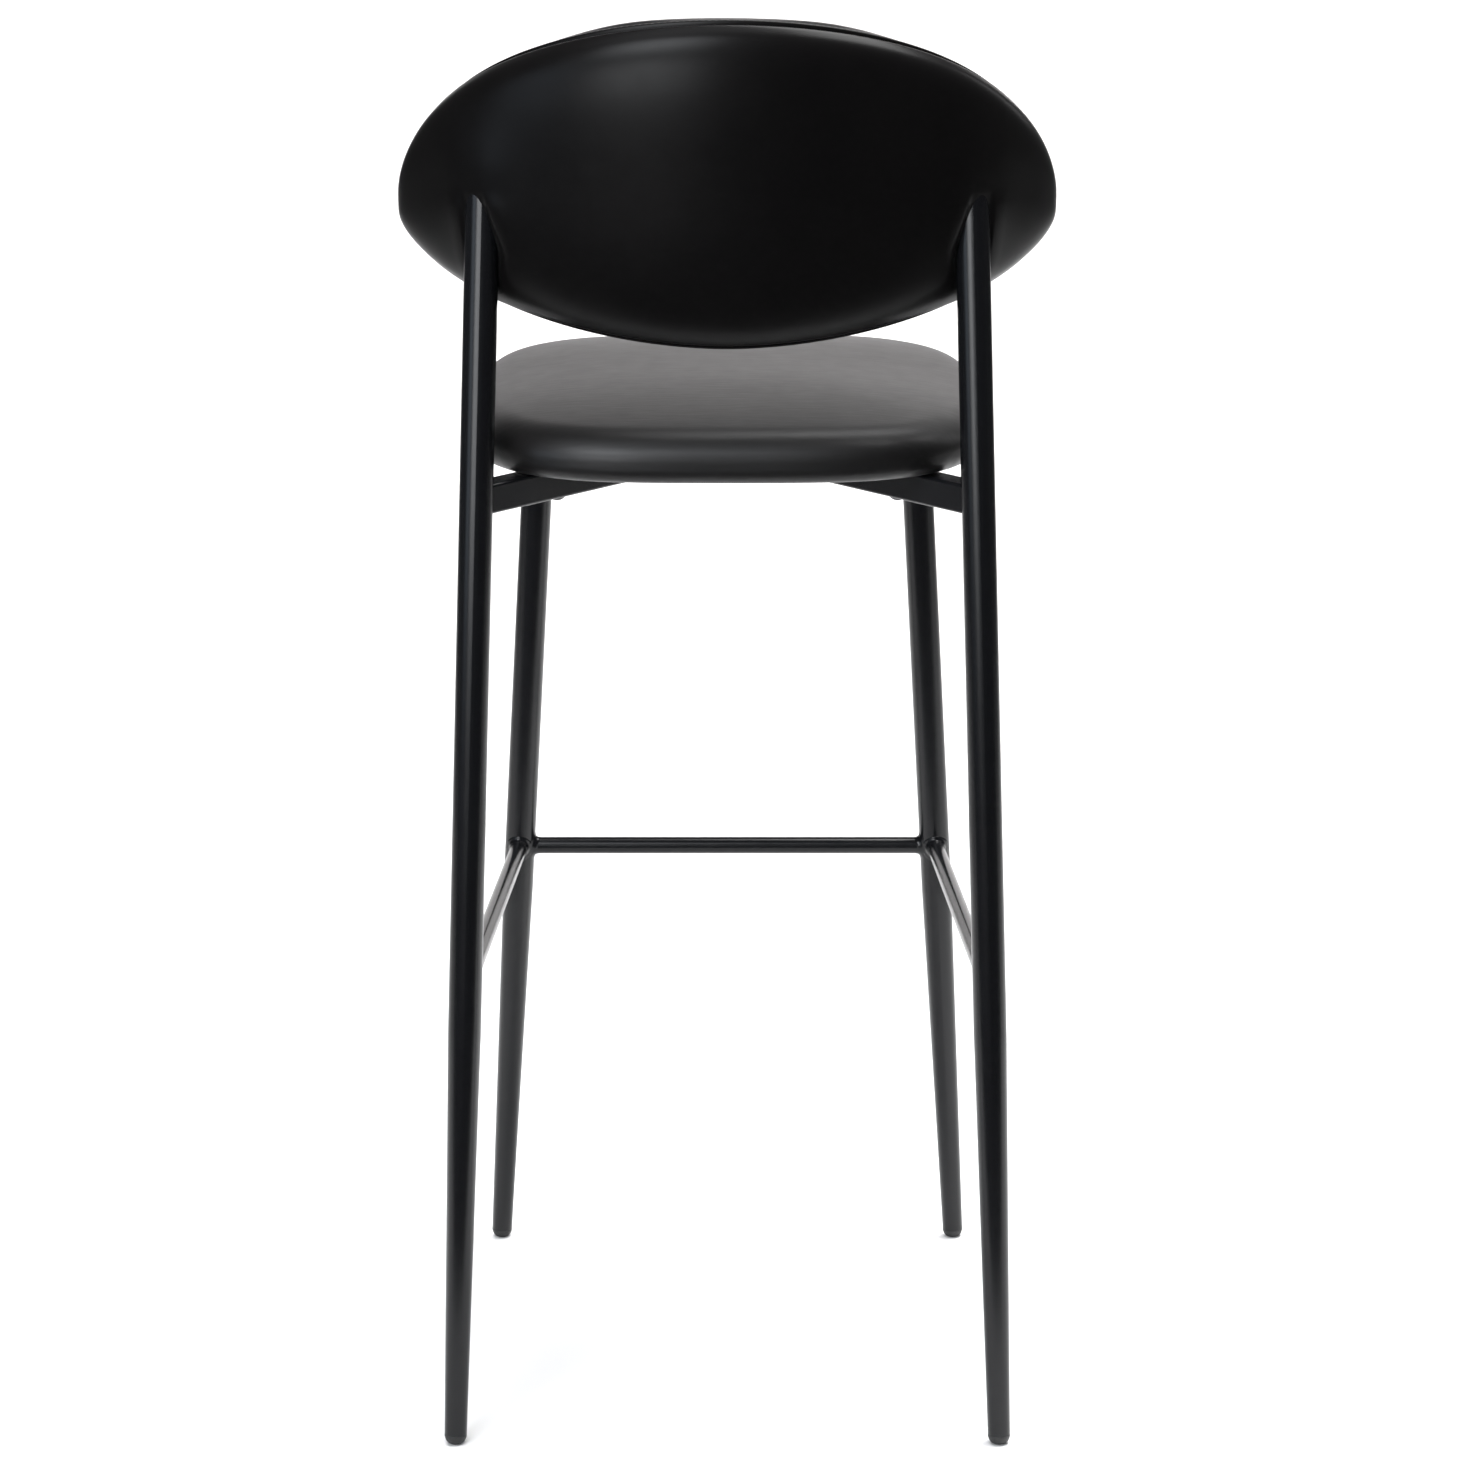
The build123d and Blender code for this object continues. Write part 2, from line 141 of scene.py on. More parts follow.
def leather(name, rough, streak, specular, dark, light):
    """Smooth black artificial leather: fine grain, faint creases along X, soft sheen."""
    shader = Shader(name)
    shader.value("Specular IOR Level", specular)
    shader.value("Sheen Weight", 0.03)
    shader.value("Sheen Roughness", 0.4)
    cloudy = shader.noise(14, 5)
    shader.colours(cloudy, dark, light)
    smooth = shader.ramp(shader.noise(60, 1), rough - 0.02, rough + 0.04)
    shader.link(smooth, shader.bsdf.inputs["Roughness"])
    grain = shader.bump(shader.noise(900, 1), 0.08, 0.0001)
    creases = shader.noise(1.0, 2, 0.5, shader.stretched((45, 260, 260)))
    return shader.finish(shader.bump(creases, streak, 0.0004, grain))


def powder_coat(name):
    """Black powder coat: satin, with a very fine orange-peel texture."""
    shader = Shader(name)
    shader.value("Specular IOR Level", 0.34)
    cloudy = shader.noise(25, 3)
    shader.colours(cloudy, (0.0036, 0.0038, 0.0046), (0.0056, 0.0058, 0.0068))
    smooth = shader.ramp(shader.noise(120, 4), 0.21, 0.28)
    shader.link(smooth, shader.bsdf.inputs["Roughness"])
    peel = shader.bump(shader.noise(1400, 2), 0.10, 0.0002)
    return shader.finish(shader.bump(shader.noise(260, 2), 0.05, 0.0003, peel))


def moulded_plastic(name):
    """Matt black plastic with a fine moulded grain."""
    shader = Shader(name)
    shader.colours(shader.noise(60, 3), (0.0085, 0.0085, 0.0085), (0.014, 0.014, 0.014))
    smooth = shader.ramp(shader.noise(300, 4), 0.45, 0.6)
    shader.link(smooth, shader.bsdf.inputs["Roughness"])
    return shader.finish(shader.bump(shader.noise(1800, 2), 0.15, 0.0002))


def metal(name, dark, light, rough):
    """Bare or blackened metal between two shades."""
    shader = Shader(name)
    shader.value("Metallic", 1.0)
    shader.colours(shader.noise(80, 4), dark, light)
    smooth = shader.ramp(shader.noise(400, 4), rough - 0.06, rough + 0.08)
    shader.link(smooth, shader.bsdf.inputs["Roughness"])
    return shader.finish(shader.bump(shader.noise(900, 3), 0.1, 0.0002))


def foam(name):
    """Yellowish open foam."""
    shader = Shader(name)
    shader.colours(shader.noise(300, 4), (0.62, 0.58, 0.42), (0.8, 0.77, 0.62))
    shader.value("Roughness", 0.95)
    return shader.finish(shader.bump(shader.cells(700), 0.6, 0.001))


def plywood(name):
    """Raw plywood with its grain along X."""
    shader = Shader(name)
    grain = shader.noise(1.0, 6, 0.65, shader.stretched((14, 120, 900)))
    shader.colours(grain, (0.42, 0.27, 0.14), (0.68, 0.5, 0.32))
    smooth = shader.ramp(grain, 0.55, 0.75)
    shader.link(smooth, shader.bsdf.inputs["Roughness"])
    return shader.finish(shader.bump(grain, 0.3, 0.0005))


def non_woven(name):
    """Black non-woven cloth with rows of pressed dots."""
    shader = Shader(name)
    dots = shader.add("ShaderNodeTexVoronoi")
    dots.inputs["Scale"].default_value = 450
    dots.inputs["Randomness"].default_value = 0.15
    shader.link(shader.coords, dots.inputs["Vector"])
    shader.colours(shader.noise(200, 5), (0.012, 0.012, 0.012), (0.03, 0.03, 0.03))
    shader.value("Roughness", 0.9)
    pressed = shader.bump(dots.outputs["Distance"], 0.5, 0.0005)
    return shader.finish(shader.bump(shader.noise(2500, 3), 0.4, 0.0003, pressed))


def thread(name):
    """Twisted black sewing thread."""
    shader = Shader(name)
    shader.colours(shader.noise(500, 3), (0.009, 0.009, 0.009), (0.02, 0.02, 0.02))
    shader.value("Roughness", 0.6)
    return shader.finish(shader.bump(shader.noise(3500, 2), 0.4, 0.0002))


SEAT_DARK, SEAT_LIGHT = (0.0034, 0.0031, 0.0032), (0.0068, 0.0062, 0.0062)
# painted shade: the backrest's leather is a copy of the seat's with a darker base colour, so the
# backrest reads as shaded
BACK_DARK, BACK_LIGHT = (0.0020, 0.0018, 0.0019), (0.0042, 0.0038, 0.0038)
MATERIALS = {
    "seat_leather": leather("seat_leather", 0.42, 0.30, 0.35, SEAT_DARK, SEAT_LIGHT),
    "back_leather": leather("back_leather", 0.30, 0.0, 0.12, BACK_DARK, BACK_LIGHT),
    "frame_paint": powder_coat("frame_paint"),
    "glide_plastic": moulded_plastic("glide_plastic"),
    "screw_metal": metal("screw_metal", (0.02, 0.02, 0.022), (0.05, 0.05, 0.055), 0.38),
    "nut_metal": metal("nut_metal", (0.5, 0.5, 0.48), (0.66, 0.65, 0.62), 0.3),
    "foam": foam("foam"),
    "plywood": plywood("plywood"),
    "dust_cloth": non_woven("dust_cloth"),
}
thread_material = thread("thread")


def dress(obj, material):
    """Give an object one material."""
    obj.data.materials.clear()
    obj.data.materials.append(material)


for entry in frame["record"]["subparts"]:
    node = nodes[entry["node"]]
    material = MATERIALS[entry["material_slot"]]
    if node.material_slots:
        for slot in node.material_slots:
            slot.material = material
    else:
        node.data.materials.append(material)


# ---- mesh helpers ----------------------------------------------------------------------------

def new_piece(name, verts, faces, material):
    """Smooth-shaded object from points and faces, with its normals outwards."""
    mesh = bpy.data.meshes.new(name)
    mesh.from_pydata([tuple(v) for v in verts], [], faces)
    mesh.validate()
    working = bmesh.new()
    working.from_mesh(mesh)
    bmesh.ops.recalc_face_normals(working, faces=working.faces)
    working.to_mesh(mesh)
    working.free()
    piece = bpy.data.objects.new(name, mesh)
    bpy.context.scene.collection.objects.link(piece)
    for polygon in mesh.polygons:
        polygon.use_smooth = True
    dress(piece, material)
    return piece


def ring_faces(rings, count, closed=False):
    """Quads between successive rings of count points each."""
    faces = []
    for i in range(rings if closed else rings - 1):
        for j in range(count):
            a, b = i * count, ((i + 1) % rings) * count
            k = (j + 1) % count
            faces.append((a + j, a + k, b + k, b + j))
    return faces


def refine(piece):
    """One level of subdivision, applied to the mesh."""
    subdivision = piece.modifiers.new("smooth", "SUBSURF")
    subdivision.levels = 1
    graph = bpy.context.evaluated_depsgraph_get()
    mesh = bpy.data.meshes.new_from_object(piece.evaluated_get(graph))
    piece.modifiers.clear()
    piece.data = mesh


def superellipse(turn, half_x, half_y, power):
    """Point at a turn round a superellipse with the given half widths."""
    c, s = math.cos(turn), math.sin(turn)
    x = half_x * math.copysign(abs(c) ** (2 / power), c)
    y = half_y * math.copysign(abs(s) ** (2 / power), s)
    return x, y


def bell(distance, width):
    """Smooth bump: 1 at no distance, and nearly 0 from twice the width on."""
    return np.exp(-((distance / width) ** 2))


def smooth_step(share):
    """0 below 0, 1 above 1, and an even S-curve between."""
    share = np.clip(share, 0, 1)
    return share * share * (3 - 2 * share)


def vertex_normals(verts, faces):
    """Outward normals at the points of a closed mesh."""
    mesh = bpy.data.meshes.new("normals")
    mesh.from_pydata([tuple(v) for v in verts], [], faces)
    normals = np.zeros(len(verts) * 3)
    mesh.vertex_normals.foreach_get("vector", normals)
    bpy.data.meshes.remove(mesh)
    normals = normals.reshape(-1, 3)
    outward = verts - verts.mean(0)
    if (normals * outward).sum() < 0:
        normals = -normals
    return normals


def closed_by_fans(points, count, low_centre, high_centre):
    """Faces of stacked rings whose first and last ring are closed to a centre point."""
    rings = len(points) // count
    faces = ring_faces(rings, count)
    verts = list(points) + [low_centre, high_centre]
    low, high = len(points), len(points) + 1
    last = (rings - 1) * count
    for j in range(count):
        k = (j + 1) % count
        faces.append((k, j, low))
        faces.append((last + j, last + k, high))
    return np.array(verts), faces


def ripple(points, seed, scale):
    """Smooth repeatable hollows and swells, about -1 to 1, from summed sine waves."""
    rng = np.random.default_rng(seed)
    total = np.zeros(len(points))
    for _ in range(14):
        direction = rng.normal(size=3)
        direction /= np.linalg.norm(direction)
        total += np.sin(points @ direction * scale * rng.uniform(0.6, 1.6) + rng.uniform(0, 6.3))
    return total / 14 ** 0.5 / 1.4


def neighbour_mean(values, faces, passes):
    """Values at the mesh's points after each is averaged with its neighbours several times."""
    pairs = np.array([(face[k - 1], face[k]) for face in faces for k in range(len(face))])
    pairs = np.vstack([pairs, pairs[:, ::-1]])
    number = np.maximum(np.bincount(pairs[:, 0], minlength=len(values)), 1)
    for _ in range(passes):
        around = np.bincount(pairs[:, 0], values[pairs[:, 1]], len(values)) / number
        values = (values + around) / 2
    return values


CLOTH_FRAMES = 20
CLOTH_SMOOTHING = 30


def inflate(name, verts, faces, pinned, pressure, cap, hold):
    """Cloth simulation of a stuffed cover: the points puffed outwards by cap at the most.

    hold, from 0 to 1 at each point, says how freely the cover may swell there.
    """
    mesh = bpy.data.meshes.new(name)
    mesh.from_pydata([tuple(v) for v in verts], [], faces)
    piece = bpy.data.objects.new(name, mesh)
    bpy.context.scene.collection.objects.link(piece)
    group = piece.vertex_groups.new(name="pinned")
    group.add([int(i) for i in pinned], 1.0, "REPLACE")
    cloth = piece.modifiers.new("Cloth", "CLOTH")
    settings = cloth.settings
    settings.quality = 6
    settings.use_pressure = True
    settings.uniform_pressure_force = pressure
    settings.effector_weights.gravity = 0
    settings.vertex_group_mass = "pinned"
    settings.tension_stiffness = 25
    settings.compression_stiffness = 12
    settings.shear_stiffness = 12
    settings.bending_stiffness = 1.2
    cloth.collision_settings.use_collision = False
    scene = bpy.context.scene
    scene.frame_start, scene.frame_end = 1, CLOTH_FRAMES
    cloth.point_cache.frame_start, cloth.point_cache.frame_end = 1, CLOTH_FRAMES
    for step in range(1, CLOTH_FRAMES + 1):
        scene.frame_set(step)
    graph = bpy.context.evaluated_depsgraph_get()
    puffed = bpy.data.meshes.new_from_object(piece.evaluated_get(graph))
    points = np.zeros(len(puffed.vertices) * 3)
    puffed.vertices.foreach_get("co", points)
    scene.frame_set(1)
    bpy.data.objects.remove(piece)
    normals = vertex_normals(verts, faces)
    swell = ((points.reshape(-1, 3) - verts) * normals).sum(1)
    swell = np.maximum(neighbour_mean(swell, faces, CLOTH_SMOOTHING), 0)
    swell = swell * min(1.0, cap / max(np.percentile(swell, 98), 1e-9))
    return verts + normals * (np.minimum(swell, cap) * hold)[:, None]


# ---- seat cushion ----------------------------------------------------------------------------

SEAT_TILT = math.radians(2.6)
SEAT_POWER = 3.4
SEAT_TURNS = 160
SEAT_SWELL = 0.0012
SEAT_PRESSURE = 4.0
UNDERSIDE_INSETS = 0.034, 0.026, 0.018
LOW_R = 0.011
ROLL_WIDTH, ROLL_HEIGHT = 0.030, 0.0215
EDGE_SLOPE = 0.1625
CROWN_POWER = 2.6
LOW_STEPS, SIDE_STEPS, ROLL_STEPS, CROWN_STEPS = 6, 3, 12, 28
TUCKS, TUCK_DEPTH = 90, 0.004
SEAT_UNEVENNESS = 0.0007
LEATHER_GAP = 0.0012

cover_low, cover_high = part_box("seat_cover")
seat_half_x = (cover_high.x - cover_low.x) / 2
seat_half_y = seat_half_x * 1.005
board = node_points("seat_board")
tilt_back = Matrix.Rotation(SEAT_TILT, 3, "X")
board_flat = board @ np.array(tilt_back).T
board_bottom = board_flat[:, 2].min()
board_middle = (board_flat[:, 1].min() + board_flat[:, 1].max()) / 2
seat_top_flat = (node_points("seat_cover") @ np.array(tilt_back).T)[:, 2].max()
seat_base = board_bottom - LEATHER_GAP
seat_thick = seat_top_flat - seat_base


def seat_place(x, y, z):
    """Point of the cushion's own level frame turned into the tilted seat."""
    return tilt_back.inverted() @ Vector((x, board_middle + y, seat_base + z))


def seat_profile():
    """Inset and height of each ring, from the turned-in underside edge up to the crown."""
    # the roll ends where its slope is the crown's, so the two meet without a crease
    end = math.atan(ROLL_HEIGHT / ROLL_WIDTH / EDGE_SLOPE)
    rest = seat_half_x - ROLL_WIDTH * (1 - math.cos(end))
    crown = EDGE_SLOPE * rest / CROWN_POWER
    rise_from = seat_thick - crown - ROLL_HEIGHT * math.sin(end)
    rings = [(inset, 0.0) for inset in UNDERSIDE_INSETS]
    for k in range(LOW_STEPS + 1):
        turn = math.radians(90) * k / LOW_STEPS
        rings.append((LOW_R * (1 - math.sin(turn)), LOW_R * (1 - math.cos(turn))))
    for k in range(1, SIDE_STEPS):
        rings.append((0.0, LOW_R + (rise_from - LOW_R) * k / SIDE_STEPS))
    for k in range(ROLL_STEPS + 1):
        turn = end * k / ROLL_STEPS
        inset = ROLL_WIDTH * (1 - math.cos(turn))
        rings.append((inset, rise_from + ROLL_HEIGHT * math.sin(turn)))
    for k in range(1, CROWN_STEPS):
        share = 1 - k / CROWN_STEPS
        rings.append((seat_half_x - rest * share, seat_thick - crown * share ** CROWN_POWER))
    return rings


def seat_rings():
    """Points of the cushion, ring by ring, in its own level frame."""
    points = []
    for inset, height in seat_profile():
        for j in range(SEAT_TURNS):
            turn = 2 * math.pi * j / SEAT_TURNS
            x, y = superellipse(turn, seat_half_x - inset, seat_half_y - inset, SEAT_POWER)
            points.append((x, y, height))
    return np.array(points)


def build_seat():
    """The seat cushion, puffed up by a cloth simulation and set on the board."""
    rings = seat_rings()
    verts, faces = closed_by_fans(rings, SEAT_TURNS, (0, 0, 0), (0, 0, seat_thick))
    pinned = list(range(len(UNDERSIDE_INSETS) * SEAT_TURNS)) + [len(rings)]
    hold = smooth_step((verts[:, 2] - 0.012) / 0.022)
    verts = inflate("seat_simulation", verts, faces, pinned, SEAT_PRESSURE, SEAT_SWELL, hold)
    # the leather is drawn in slightly where it turns under, with small tucks at the corners
    side = np.clip(1 - np.abs(verts[:, 2] - 0.005) / 0.010, 0, 1)
    around = np.arctan2(verts[:, 1], verts[:, 0])
    corner = np.abs(np.sin(2 * around)) ** 6
    tucks = 0.5 + 0.5 * np.sin(around * TUCKS)
    pull = 1 - TUCK_DEPTH * side * corner * tucks
    verts[:, 0] *= pull
    verts[:, 1] *= pull
    soft = np.clip((verts[:, 2] - 0.012) / 0.02, 0, 1)
    verts[:, 2] += SEAT_UNEVENNESS * ripple(verts, 4, 26.0) * soft
    placed = [seat_place(*v) for v in verts]
    piece = new_piece("seat_cushion", placed, faces, MATERIALS["seat_leather"])
    refine(piece)
    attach(piece, "root")
    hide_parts("seat_cover", "seat_foam")
    return piece


build_seat()


# ---- backrest --------------------------------------------------------------------------------

BACK_LEAN = math.radians(8.0)
BACK_MID_R = 0.318
BACK_HALF_ARC = 0.2582
BACK_ABOVE, BACK_BELOW, BACK_WIDEST = 0.164, 0.0745, 0.0076
BACK_POWER_ABOVE, BACK_POWER_BELOW = 1.96, 1.75
BACK_HALF_THICKNESS = 0.0318
TIP_POWER, SECTION_POWER = 5.0, 3.0
SHOULDER_POWER = 4.2
BACK_PRESSURE = 3.0
BACK_SWELL = 0.0012
BACK_UNEVENNESS = 0.0006
BACK_SECTIONS = 97
TIP_TURN = math.radians(89)
POST_R = 0.0125
POST_MIDDLE = 0.93
POST_EMERGES = 0.951
PRESS_WIDTH, PRESS_WIDTH_INNER = 0.0020, 0.0075
PRESS_DEPTH, PRESS_DEPTH_INNER = 0.0012, 0.0040
POST_HOOD, POST_HOOD_WIDTH = 0.0030, 0.024
FINE_STEP = 0.0015
FINE_STEPS = 16
SEAM_SHARE, SEAM_DEPTH = 0.36, 0.0045
STITCH_SHARE, STITCH_DEPTH = 0.23, 0.0006
SEAM_REAR_LIP, SEAM_FRONT_LIP = 0.0006, 0.0016
TOP_FULLNESS = 0.0022
TIP_CALM, TIP_FADE = 0.88, 0.11
SEAM_ROWS = 4

lean = Matrix.Rotation(-BACK_LEAN, 3, "X")
panel_flat = node_points("back_panel") @ np.array(lean)
PANEL_BACK_R = 0.3175
PANEL_TOP = BACK_ABOVE - 0.023 + BACK_WIDEST
middle_band = np.abs(panel_flat[:, 0]) < 0.03
axis_y = panel_flat[middle_band, 1].max() - PANEL_BACK_R
axis_z = panel_flat[:, 2].max() - PANEL_TOP
back_origin = lean @ Vector((0, axis_y, axis_z))


def back_place(turn, radius, height):
    """Point of the backrest from its angle round the axis, its radius and its height."""
    local = Vector((radius * math.sin(turn), radius * math.cos(turn), height))
    return back_origin + lean @ local


def unit_height(share, power):
    """Height of a superellipse of half height 1 at a share of its half width."""
    return max(1 - abs(share) ** power, 0) ** (1 / power)


def quarter(flat_steps, rim_depths, power):
    """Depth and height shares of a quarter section, from its face's middle out to its rim."""
    edge = unit_height(rim_depths[0] + 0.012, power)
    shares = []
    for k in range(flat_steps):
        height = edge * k / flat_steps
        shares.append((unit_height(height, power), height))
    for depth in rim_depths:
        shares.append((depth, unit_height(depth, power)))
    return shares


def section_loop():
    """Shares round the pillow's section, with fine rows at the seam and round the posts."""
    rear_rim = [0.787, 0.74, 0.69, 0.64, 0.58, 0.53, 0.48, 0.44, 0.41, 0.395, 0.378]
    rear_rim += [SEAM_SHARE, 0.342, 0.325, 0.30, 0.28, 0.255, STITCH_SHARE, 0.20, 0.16, 0.11, 0.05]
    front_rim = [0.787, 0.72, 0.64, 0.55, 0.45, 0.34, 0.24, 0.15, 0.07, 0.0]
    shoulder = [0.93, 0.90, 0.87, 0.83]
    rear_top = quarter(16, shoulder + rear_rim, SHOULDER_POWER)
    rear_low = quarter(34, rear_rim, SECTION_POWER)
    front = quarter(12, front_rim, SECTION_POWER)
    loop = [(r, h) for r, h in rear_top]
    loop += [(-r, h) for r, h in reversed(front)]
    loop += [(-r, -h) for r, h in front[1:]]
    loop += [(r, -h) for r, h in reversed(rear_low[1:])]
    return loop


LOOP = section_loop()


def row_at(share, side):
    """Row of the section nearest to a depth share, on its upper (1) or lower (-1) side."""
    rows = [j for j, (r, h) in enumerate(LOOP) if h * side > 0]
    return min(rows, key=lambda j: abs(LOOP[j][0] - share))


TOP_SEAM = row_at(SEAM_SHARE, 1)
LOW_SEAM = row_at(SEAM_SHARE, -1)


def post_line(side):
    """Two points on the axis of a rear post, low and high."""
    points = node_points("rear_leg_left")
    low = points[points[:, 2] < points[:, 2].min() + 0.010].mean(0)
    high = points[points[:, 2] > points[:, 2].max() - 0.004].mean(0)
    for point in (low, high):
        point[0] *= side
    return low, high


def post_turn():
    """Angle round the backrest's axis at which the rear posts stand."""
    low, high = post_line(1)
    inside = low + (high - low) * (POST_MIDDLE - low[2]) / (high[2] - low[2])
    local = lean.transposed() @ (Vector(inside) - back_origin)
    return math.atan2(local.x, local.y)


def section_shares():
    """Where the sections stand along the arc: closer together at the tips and at the posts."""
    centre = post_turn() * BACK_MID_R / BACK_HALF_ARC
    step = FINE_STEP / BACK_HALF_ARC
    fine = [centre + step * k for k in range(-FINE_STEPS, FINE_STEPS + 1)]
    fine += [-share for share in fine]
    reach = step * (FINE_STEPS + 1.5)
    plain = []
    for i in range(BACK_SECTIONS):
        share = math.sin(TIP_TURN * (2 * i / (BACK_SECTIONS - 1) - 1))
        if abs(abs(share) - centre) > reach:
            plain.append(share)
    return sorted(plain + fine)


def back_grid():
    """Pillow points in the backrest's own cylinder frame: arc, depth and height."""
    grid = []
    for share in section_shares():
        above = BACK_ABOVE * unit_height(share, BACK_POWER_ABOVE)
        below = BACK_BELOW * unit_height(share, BACK_POWER_BELOW)
        half_height = (above + below) / 2
        centre = BACK_WIDEST + (above - below) / 2
        half_thick = BACK_HALF_THICKNESS * unit_height(share, TIP_POWER)
        for r, h in LOOP:
            grid.append((BACK_HALF_ARC * share, half_thick * r, centre + half_height * h))
    return np.array(grid)


def wrap(flat):
    """Flat pillow points (arc, depth, height) wrapped round the backrest's axis."""
    return np.array([back_place(a / BACK_MID_R, BACK_MID_R + r, z) for a, r, z in flat])


def post_press(points, side):
    """How far the cover is drawn in round a post, and how far it swells beside it."""
    low, high = post_line(side)
    axis = (high - low) / np.linalg.norm(high - low)
    across = points - low
    across = across - (across @ axis)[:, None] * axis
    distance = np.linalg.norm(across, axis=1)
    gap = np.maximum(distance - POST_R, 0)
    over = points[:, 2] - POST_EMERGES
    # the press deepens down the post, most on its inner side where the cover stands proud
    below = np.clip(-over / 0.010, 0, 1)
    lower = np.clip(-over / 0.045, 0, 1) * smooth_step((points[:, 2] - 0.888) / 0.022)
    inner = np.clip(-side * across[:, 0] / distance, 0, 1) * lower
    width = PRESS_WIDTH + PRESS_WIDTH_INNER * inner
    depth = (PRESS_DEPTH + PRESS_DEPTH_INNER * inner) * below
    press = depth * np.clip(1 - gap / width, 0, 1) ** 1.5
    swell = 0.0006 * bell(gap - width - 0.005, 0.006) * below
    # above the press the cover rises over the post's end
    hood = POST_HOOD * bell(gap, POST_HOOD_WIDTH) * smooth_step((over + 0.055) / 0.045)
    hood = hood * (1 - smooth_step((over - 0.012) / 0.050))
    return press, swell + hood


def back_surface():
    """The pillow's outer points after puffing up, with its seam sunk and posts pressed in."""
    count = len(LOOP)
    verts = wrap(back_grid())
    whole, faces = closed_by_fans(verts, count, verts[:count].mean(0), verts[-count:].mean(0))
    loop_index = np.arange(len(verts)) % count
    along = np.abs(np.repeat(section_shares(), count))
    calm = 1 - smooth_step((along - TIP_CALM) / TIP_FADE)
    near_seam = np.minimum(np.abs(loop_index - TOP_SEAM), np.abs(loop_index - LOW_SEAM))
    pinned = list(np.nonzero(near_seam <= SEAM_ROWS)[0]) + [len(verts), len(verts) + 1]
    hold = smooth_step((near_seam - SEAM_ROWS) / 8) * (1 - smooth_step((along - 0.72) / 0.2))
    hold = np.concatenate([hold, [0, 0]])
    whole = inflate("back_simulation", whole, faces, pinned, BACK_PRESSURE, BACK_SWELL, hold)
    normals = vertex_normals(whole, faces)
    share = np.array([r for r, h in LOOP])[loop_index]
    rear_rim = np.isin(loop_index, [j for j, (r, h) in enumerate(LOOP) if 0 < r < 0.6])
    from_seam = share - SEAM_SHARE
    groove = SEAM_DEPTH * bell(from_seam, 0.045) + STITCH_DEPTH * bell(share - STITCH_SHARE, 0.02)
    groove -= SEAM_REAR_LIP * bell(from_seam - 0.12, 0.06)
    groove -= SEAM_FRONT_LIP * bell(from_seam + 0.11, 0.06)
    groove *= rear_rim
    # the top is a little fuller on either side of its middle, in front of the seam
    upper = np.array([h > 0 for r, h in LOOP])[loop_index]
    groove -= TOP_FULLNESS * bell(along - 0.29, 0.17) * bell(share + 0.05, 0.22) * upper
    whole[:-2] -= normals[:-2] * (groove * calm)[:, None]
    soft = np.clip((near_seam - SEAM_ROWS) / 8, 0, 1) * calm
    swell = BACK_UNEVENNESS * ripple(whole[:-2], 9, 20.0) * soft
    whole[:-2] += normals[:-2] * swell[:, None]
    rear_side = share > 0
    for side in (1, -1):
        press, swell = post_press(whole[:-2], side)
        moved = (swell - press) * rear_side
        whole[:-2] += normals[:-2] * moved[:, None]
    return whole[:-2].reshape(-1, count, 3)


def closed_panel(name, outer, inner_steps=5):
    """Closed piece from a grid of outer points: the inner side runs straight between seams."""
    count = outer.shape[1]
    inner = []
    for k in range(1, inner_steps):
        share = k / inner_steps
        inner.append(outer[:, -1] * (1 - share) + outer[:, 0] * share)
    tucked = 0.03
    near_end = outer[:, -1] * (1 - tucked) + outer[:, 0] * tucked
    near_start = outer[:, 0] * (1 - tucked) + outer[:, -1] * tucked
    rows = [outer[:, j] for j in range(count)] + [near_end] + inner + [near_start]
    rings = np.stack(rows, axis=1)
    per = rings.shape[1]
    points = rings.reshape(-1, 3)
    verts, faces = closed_by_fans(points, per, points[:per].mean(0), points[-per:].mean(0))
    piece = new_piece(name, verts, faces, MATERIALS["back_leather"])
    refine(piece)
    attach(piece, "root")
    return piece


def build_back():
    """The two halves of the backrest's cover, split along the seam."""
    surface = back_surface()
    count = surface.shape[1]
    rear_index = [j % count for j in range(LOW_SEAM, TOP_SEAM + count + 1)]
    front_index = list(range(TOP_SEAM, LOW_SEAM + 1))
    rear = closed_panel("back_rear_pad", surface[:, rear_index])
    front = closed_panel("back_front_pad", surface[:, front_index])
    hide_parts("back_rear_cover", "back_rear_foam")
    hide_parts("back_front_cover", "back_front_foam")
    return surface


back_points = build_back()


# ---- stitches along the backrest's seam --------------------------------------------------------

def stitch_row(name, line, pitch, gap, radius):
    """Short rounded threads laid end to end along a line of points."""
    steps = np.linalg.norm(np.diff(line, axis=0), axis=1)
    reach = np.concatenate([[0], np.cumsum(steps)])
    verts, faces = [], []
    sides, rings = 6, 5
    start = pitch
    while start < reach[-1] - pitch:
        ends = []
        for at in (start, start + pitch - gap):
            ends.append(Vector([np.interp(at, reach, line[:, k]) for k in range(3)]))
        along = (ends[1] - ends[0]).normalized()
        across = along.orthogonal().normalized()
        third = along.cross(across)
        base = len(verts)
        for i in range(rings):
            share = i / (rings - 1)
            middle = ends[0].lerp(ends[1], share)
            size = radius * (0.35 + 0.65 * math.sin(math.pi * share) ** 0.5)
            for j in range(sides):
                turn = 2 * math.pi * j / sides
                spoke = across * math.cos(turn) + third * math.sin(turn)
                verts.append(middle + spoke * size)
        faces += [tuple(base + v for v in face) for face in ring_faces(rings, sides)]
        faces.append(tuple(base + j for j in range(sides)))
        faces.append(tuple(base + (rings - 1) * sides + j for j in range(sides)))
        start += pitch
    piece = new_piece(name, verts, faces, thread_material)
    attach(piece, "root")
    return piece


